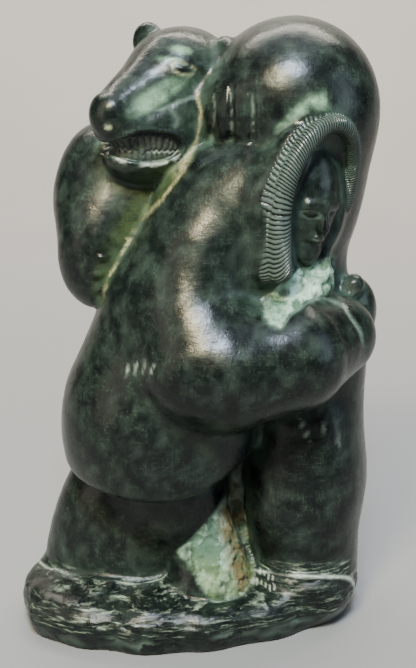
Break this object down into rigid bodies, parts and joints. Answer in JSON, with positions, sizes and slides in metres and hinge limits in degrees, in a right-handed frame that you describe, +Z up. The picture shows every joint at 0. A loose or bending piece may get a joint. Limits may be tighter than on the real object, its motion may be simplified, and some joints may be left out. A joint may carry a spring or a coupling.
{
  "type": "figure group sculpture",
  "caption": "Cast resin sculpture with a carved-stone look: a hooded hunter in a parka holding on to a standing, snarling bear, on a low rough rock base.",
  "frame": {"origin": "centre of the base's flat underside", "axes": "+Z up; -Y is the side the picture shows, with the hood's opening towards +X and -Y"},
  "size_m": [0.1756, 0.1357, 0.292],
  "materials": {
    "cast_resin": "stone-filled cast resin, dark green-black with a waxed sheen and pale green patina in the recesses"
  },
  "bodies": {
    "root": {"hunter_and_bear_casting": "cast_resin"}
  },
  "joints": []
}
